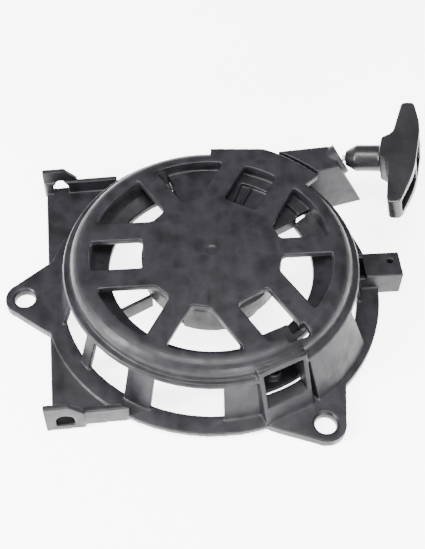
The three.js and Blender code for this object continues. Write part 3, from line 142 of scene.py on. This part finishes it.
def add_lights():
    world = bpy.data.worlds.new("studio")
    world.use_nodes = True
    world.node_tree.nodes["Background"].inputs["Color"].default_value = (1, 1, 1, 1)
    world.node_tree.nodes["Background"].inputs["Strength"].default_value = SKY_STRENGTH
    bpy.context.scene.world = world
    for name, (at, size, power) in LIGHTS.items():
        add_area_light(name, at, size, power)


add_camera()
add_floor()
add_lights()


# ---------------------------------------------------------------- materials

NOISE_BAND = (0.3, 0.7)  # the part of a noise's range that a spread uses


class Paint:
    """One material, with its texture nodes driven by the piece's own coordinates."""

    def __init__(self, name):
        self.material = bpy.data.materials.new(name)
        self.material.use_nodes = True
        self.tree = self.material.node_tree
        self.shader = self.tree.nodes["Principled BSDF"]
        self.place = self.tree.nodes.new("ShaderNodeTexCoord").outputs["Object"]
        self.height = None

    def link(self, start, end):
        self.tree.links.new(start, end)

    def stretched(self, scale):
        mapping = self.tree.nodes.new("ShaderNodeMapping")
        mapping.inputs["Scale"].default_value = scale
        self.link(self.place, mapping.inputs["Vector"])
        return mapping.outputs["Vector"]

    def noise(self, scale, detail=3.0, stretch=None):
        node = self.tree.nodes.new("ShaderNodeTexNoise")
        node.inputs["Scale"].default_value = scale
        node.inputs["Detail"].default_value = detail
        self.link(self.stretched(stretch) if stretch else self.place, node.inputs["Vector"])
        return node.outputs["Fac"]

    def ramp(self, source, stops):
        node = self.tree.nodes.new("ShaderNodeValToRGB")
        points = node.color_ramp.elements
        while len(points) < len(stops):
            points.new(0.5)
        for point, (at, color) in zip(points, stops):
            point.position = at
            point.color = (*color, 1)
        self.link(source, node.inputs["Fac"])
        return node.outputs["Color"]

    def spread(self, source, low, high):
        node = self.tree.nodes.new("ShaderNodeMapRange")
        node.inputs["From Min"].default_value = NOISE_BAND[0]
        node.inputs["From Max"].default_value = NOISE_BAND[1]
        node.inputs["To Min"].default_value = low
        node.inputs["To Max"].default_value = high
        self.link(source, node.inputs["Value"])
        return node.outputs["Result"]

    def bump(self, source, distance, strength):
        node = self.tree.nodes.new("ShaderNodeBump")
        node.inputs["Distance"].default_value = distance
        node.inputs["Strength"].default_value = strength
        self.link(source, node.inputs["Height"])
        if self.height:
            self.link(self.height, node.inputs["Normal"])
        self.height = node.outputs["Normal"]
        self.link(self.height, self.shader.inputs["Normal"])


def nylon(name, dark, light, roughness, grain, shine):
    """Glass-filled nylon: mottled satin black with a fine grain and faint flow marks."""
    paint = Paint(name)
    mottle = paint.noise(75, 8)
    color = paint.ramp(mottle, [(0.3, dark), (0.55, light), (0.75, dark)])
    paint.link(color, paint.shader.inputs["Base Color"])
    scuffs = paint.noise(160, 8, (1, 0.25, 1))
    paint.link(paint.spread(scuffs, *roughness), paint.shader.inputs["Roughness"])
    paint.shader.inputs["Specular IOR Level"].default_value = shine
    paint.bump(paint.noise(70, 2), 0.4 * MM, 0.2)
    paint.bump(paint.noise(1800, 3), 0.05 * MM, grain)
    return paint.material


def metal(name, dark, light, roughness, brushing):
    """Plated, wound or sintered metal: streaks along one way, small stains and pits."""
    paint = Paint(name)
    streaks = paint.noise(300, 4, brushing)
    stains = paint.noise(90, 6)
    paint.link(paint.ramp(stains, [(0.3, dark), (0.6, light)]), paint.shader.inputs["Base Color"])
    paint.link(paint.spread(streaks, *roughness), paint.shader.inputs["Roughness"])
    paint.shader.inputs["Metallic"].default_value = 1
    paint.bump(streaks, 0.05 * MM, 0.15)
    paint.bump(paint.noise(900, 5), 0.04 * MM, 0.1)
    return paint.material


def cord_fibre():
    """Off-white nylon cord: fine fibres, slightly grubby."""
    paint = Paint("rope")
    dirt = paint.noise(130, 6)
    tones = [(0.25, (0.52, 0.47, 0.37)), (0.6, (0.8, 0.76, 0.66))]
    paint.link(paint.ramp(dirt, tones), paint.shader.inputs["Base Color"])
    paint.link(paint.spread(dirt, 0.7, 0.95), paint.shader.inputs["Roughness"])
    paint.bump(paint.noise(2600, 4), 0.08 * MM, 0.4)
    return paint.material


# nylon: darkest and lightest tone, roughness from and to, grain and shine;
# metal: stained and clean tone, roughness from and to, stretch of the brushing
FINISH = {
    "case_nylon": nylon(
        "case_nylon", (0.003, 0.003, 0.004), (0.012, 0.011, 0.014), (0.3, 0.54), 0.4, 0.26),
    "grip_nylon": nylon(
        "grip_nylon", (0.003, 0.003, 0.004), (0.007, 0.007, 0.008), (0.24, 0.4), 0.15, 0.5),
    "reel_nylon": nylon(
        "reel_nylon", (0.01, 0.01, 0.011), (0.018, 0.018, 0.02), (0.45, 0.6), 0.3, 0.2),
    "steel": metal("steel", (0.38, 0.37, 0.35), (0.66, 0.67, 0.69), (0.22, 0.42), (1, 8, 1)),
    "spring_steel": metal(
        "spring_steel", (0.12, 0.13, 0.16), (0.3, 0.32, 0.36), (0.2, 0.38), (1, 1, 9)),
    "brass": metal("brass", (0.36, 0.27, 0.13), (0.58, 0.45, 0.22), (0.38, 0.6), (1, 1, 1)),
    "rope": cord_fibre(),
}

SLOTS = {part["node"]: part["material_slot"] for part in frame["record"]["subparts"]}


def dress(piece, node):
    """Give a new piece the node's material, and let it stand in for the node."""
    piece.data.materials.clear()
    piece.data.materials.append(FINISH[SLOTS[node]])
    for polygon in piece.data.polygons:
        polygon.use_smooth = True
    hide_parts(node)
    return piece


def new_piece(name, mesh):
    piece = bpy.data.objects.new(name, mesh)
    bpy.context.scene.collection.objects.link(piece)
    return piece


# ---------------------------------------------------------------- moulded and turned pieces

WELD_DISTANCE = 0.001 * MM


def rounded(node, voxel, smoothing, kept):
    """A fine copy of a CAD node with its edges rounded as moulding rounds them."""
    source = frame["nodes"][node]
    mesh = source.data.copy()
    piece = new_piece(node + "_skin", mesh)
    weld = bmesh.new()
    weld.from_mesh(mesh)
    bmesh.ops.remove_doubles(weld, verts=weld.verts, dist=WELD_DISTANCE)
    weld.to_mesh(mesh)
    weld.free()
    remesh = piece.modifiers.new("remesh", "REMESH")
    remesh.mode = "VOXEL"
    remesh.voxel_size = voxel
    smooth = piece.modifiers.new("smooth", "SMOOTH")
    smooth.factor = 0.5
    smooth.iterations = smoothing
    thin = piece.modifiers.new("thin", "DECIMATE")
    thin.ratio = kept
    graph = bpy.context.evaluated_depsgraph_get()
    piece.data = bpy.data.meshes.new_from_object(piece.evaluated_get(graph))
    piece.modifiers.clear()
    print("rounded", node, len(piece.data.polygons))
    dress(piece, node)
    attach(piece, source["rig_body"])
    return piece


# node: voxel size in mm, smoothing steps, share of the faces kept
ROUNDING = {
    "starter_case": (0.45, 3, 0.13),
    "grip": (0.4, 4, 0.3),
    "reel": (0.3, 2, 0.15),
    "ratchet_guide": (0.25, 2, 0.12),
    "pawl_a": (0.18, 3, 0.25),
    "pawl_b": (0.18, 3, 0.25),
    "centre_screw": (0.18, 2, 0.25),
    "rope_guide_bush": (0.15, 2, 0.25),
    "post_sleeve": (0.18, 2, 0.25),
    "thrust_washer": (0.14, 2, 0.25),
    "knot_washer": (0.14, 2, 0.25),
    "friction_spring": (0.14, 3, 0.3),
    "pawl_spring_a": (0.1, 3, 0.3),
    "pawl_spring_b": (0.1, 3, 0.3),
    "recoil_spring": (0.2, 1, 0.1),
}


# ---------------------------------------------------------------- braided rope

ROPE_RADIUS = 1.75 * MM
WINDING_LAYERS = 3
TURNS_ABREAST = 3
STEPS_PER_TURN = 36
KNOT_STEPS = 40
KNOT_ROPE_SHARE = 0.8  # the rope is squeezed in a knot
RING_SPACING = 0.6 * MM  # rings of vertices on a CAD rope are at least this far apart
RING_POINTS = 6  # and have at least this many vertices
STRANDS = 6  # strands that run each way round the braid
BRAID_PITCH = 11 * MM  # length over which a strand goes once round
BRAID_SIDES = 20
BRAID_STEP = 0.7 * MM
BRAID_RELIEF = 0.14  # depth between the strands, as a share of the radius


def braid_height(along, angle):
    """0 in the valleys and 1 on the crests of two sets of strands that cross."""
    turn = 2 * math.pi * along / BRAID_PITCH
    right = abs(math.cos(STRANDS * (angle - turn) / 2))
    left = abs(math.cos(STRANDS * (angle + turn) / 2))
    return max(right, left)


def spaced(points, step):
    """Points a step apart along a smooth curve through the given points."""
    path = []
    ends = [points[0] * 2 - points[1], *points, points[-1] * 2 - points[-2]]
    for i in range(1, len(ends) - 2):
        before, start, end, after = ends[i - 1:i + 3]
        count = max(1, round((end - start).length / step))
        for k in range(count):
            t = k / count
            path.append(0.5 * (
                2 * start
                + (end - before) * t
                + (2 * before - 5 * start + 4 * end - after) * t ** 2
                + (3 * start - before - 3 * end + after) * t ** 3
            ))
    path.append(points[-1])
    return path


def rope_mesh(name, points, radius):
    path = spaced(points, BRAID_STEP)
    verts, faces = [], []
    along = 0.0
    tangent = (path[1] - path[0]).normalized()
    side = tangent.orthogonal().normalized()
    for i, centre in enumerate(path):
        ahead = path[min(i + 1, len(path) - 1)] - path[max(i - 1, 0)]
        tangent = ahead.normalized()
        side = (side - tangent * side.dot(tangent)).normalized()
        up = tangent.cross(side)
        if i:
            along += (centre - path[i - 1]).length
        for k in range(BRAID_SIDES):
            angle = 2 * math.pi * k / BRAID_SIDES
            reach = radius * (1 - BRAID_RELIEF * (1 - braid_height(along, angle)))
            verts.append(centre + side * (reach * math.cos(angle)) + up * (reach * math.sin(angle)))
    for i in range(len(path) - 1):
        for k in range(BRAID_SIDES):
            a = i * BRAID_SIDES + k
            b = i * BRAID_SIDES + (k + 1) % BRAID_SIDES
            faces.append((a, b, b + BRAID_SIDES, a + BRAID_SIDES))
    faces.append(tuple(reversed(range(BRAID_SIDES))))
    faces.append(tuple(range(len(verts) - BRAID_SIDES, len(verts))))
    mesh = bpy.data.meshes.new(name)
    mesh.from_pydata([tuple(v) for v in verts], [], faces)
    return mesh


def corners(node):
    """The node's vertices in the frame."""
    source = frame["nodes"][node]
    return [source.matrix_world @ vertex.co for vertex in source.data.vertices]


def centreline(node):
    """Middles of the rings of vertices of a bent round bar, from one end to the other."""
    places = corners(node)
    middle = sum(places, Vector()) / len(places)
    first = max(places, key=lambda v: (v - middle).length)
    last = max(places, key=lambda v: (v - first).length)
    chord = (last - first).normalized()
    places.sort(key=lambda v: v.dot(chord))
    rings = [[places[0]]]
    for before, place in zip(places, places[1:]):
        if (place - before).dot(chord) > RING_SPACING:
            rings.append([])
        rings[-1].append(place)
    return [sum(ring, Vector()) / len(ring) for ring in rings if len(ring) >= RING_POINTS]


def radius_of(node):
    points = centreline(node)
    chord = (points[1] - points[0]).normalized()
    from_start = [v - points[0] for v in corners(node)]
    near = [v for v in from_start if abs(v.dot(chord)) < 2 * RING_SPACING]
    return max((v - chord * v.dot(chord)).length for v in near)


def braid_along(node, path, radius):
    name = node + "_braid"
    return dress(new_piece(name, rope_mesh(name, path, radius)), node)


def winding_path(radius):
    """The rope lies in layers on the core of the reel, each turn beside the last."""
    places = corners("rope_winding")
    spans = [math.hypot(v.x - SPIN.x, v.y - SPIN.y) for v in places]
    low = min(v.z for v in places) + radius
    high = max(v.z for v in places) - radius
    inner, outer = min(spans) + radius, max(spans) - radius
    points = []
    steps = TURNS_ABREAST * STEPS_PER_TURN
    for layer in range(WINDING_LAYERS):
        reach = inner + (outer - inner) * layer / (WINDING_LAYERS - 1)
        for step in range(steps):
            share = step / (steps - 1)
            if layer % 2:
                share = 1 - share
            angle = math.radians(360 / STEPS_PER_TURN * step)
            at = Vector((math.cos(angle) * reach, math.sin(angle) * reach, low + (high - low) * share))
            points.append(SPIN_AXIS + at)
    return points


def knot_path(node, radius):
    """An overhand knot pulled tight inside the CAD knot."""
    places = corners(node)
    low = Vector([min(v[i] for v in places) for i in range(3)])
    high = Vector([max(v[i] for v in places) for i in range(3)])
    middle = (low + high) / 2
    room = min(high - low) / 2 - radius
    points = []
    for step in range(KNOT_STEPS):
        t = 2 * math.pi * step / (KNOT_STEPS - 1)
        loop = Vector((
            math.sin(t) + 2 * math.sin(2 * t),
            math.cos(t) - 2 * math.cos(2 * t),
            -math.sin(3 * t),
        ))
        points.append(middle + loop * (room / 3))
    return points


def add_ropes():
    radius = min(ROPE_RADIUS, radius_of("rope_run"))
    run = braid_along("rope_run", centreline("rope_run"), radius)
    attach(run, "case")
    tail_line = centreline("rope_tail")
    tail = braid_along("rope_tail", tail_line, radius)
    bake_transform(tail)
    winding = braid_along("rope_winding", winding_path(radius), radius)
    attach(winding, "rope_reel")
    squeezed = KNOT_ROPE_SHARE * radius
    for node, body in (("reel_knot", "rope_reel"), ("grip_knot", "pull_grip")):
        knot = braid_along(node, knot_path(node, squeezed), squeezed)
        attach(knot, body)


for name, node in frame["nodes"].items():
    node.data.materials.clear()
    node.data.materials.append(FINISH[SLOTS[name]])

add_ropes()
for name, (voxel, smoothing, kept) in ROUNDING.items():
    rounded(name, voxel * MM, smoothing, kept)
